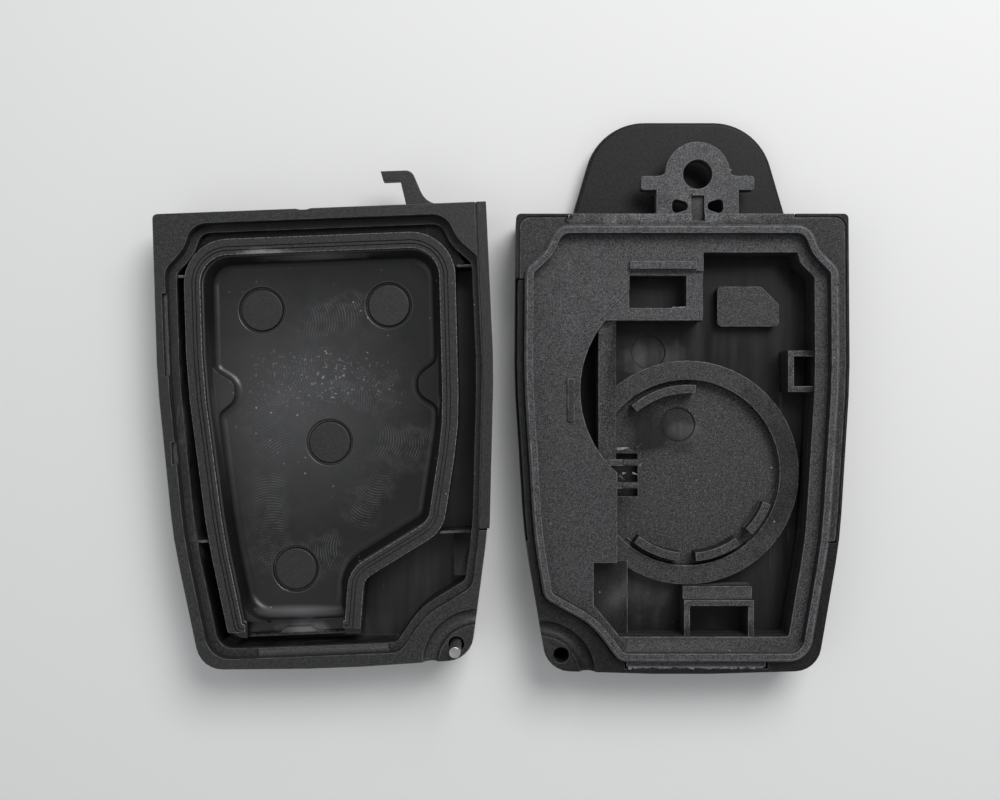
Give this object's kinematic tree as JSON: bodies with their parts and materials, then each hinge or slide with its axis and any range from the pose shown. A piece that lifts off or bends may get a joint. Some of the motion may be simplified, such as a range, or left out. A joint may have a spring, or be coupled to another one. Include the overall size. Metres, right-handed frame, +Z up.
{
  "type": "key fob shell",
  "caption": "Opened key fob shell: front cover with a sealed keypad tray and push buttons, rear housing with a coin-cell pocket and key tab, back cover with a domed end.",
  "frame": {"origin": "on the table, at the middle of the box round both halves as they lie", "axes": "+Z up from the table, +Y towards the key tab and the dome, +X from the front half to the rear half"},
  "size_m": [0.0884, 0.071, 0.012],
  "materials": {
    "cover_plastic": "fine moulded grain, charcoal black",
    "housing_plastic": "spark-eroded grain, charcoal grey",
    "tray_plastic": "satin with faint tool swirls",
    "seal_rubber": "soft matte, dusty edges",
    "button_plastic": "satin",
    "pin_steel": "turned steel"
  },
  "bodies": {
    "rear_half": {"rear_housing": "housing_plastic", "back_cover": "cover_plastic"},
    "front_half": {"front_cover": "cover_plastic", "side_trim": "cover_plastic", "keypad_tray": "tray_plastic", "perimeter_seal": "seal_rubber", "lanyard_pin": "pin_steel"},
    "upper_left_button_body": {"upper_left_button": "button_plastic"},
    "upper_right_button_body": {"upper_right_button": "button_plastic"},
    "centre_button_body": {"centre_button": "button_plastic"},
    "lower_button_body": {"lower_button": "button_plastic"}
  },
  "joints": [
    {"name": "front_half_lift", "type": "slide", "parent": "rear_half", "child": "front_half", "axis": [0, 0, 1], "range_m": [0, 0.03]},
    {"name": "upper_left_button_press", "type": "slide", "parent": "front_half", "child": "upper_left_button_body", "axis": [0, 0, 1], "range_m": [0, 0.0005], "stiffness_N_per_m": 1500},
    {"name": "upper_right_button_press", "type": "slide", "parent": "front_half", "child": "upper_right_button_body", "axis": [0, 0, 1], "range_m": [0, 0.0005], "stiffness_N_per_m": 1500},
    {"name": "centre_button_press", "type": "slide", "parent": "front_half", "child": "centre_button_body", "axis": [0, 0, 1], "range_m": [0, 0.0005], "stiffness_N_per_m": 1500},
    {"name": "lower_button_press", "type": "slide", "parent": "front_half", "child": "lower_button_body", "axis": [0, 0, 1], "range_m": [0, 0.0005], "stiffness_N_per_m": 1500}
  ]
}
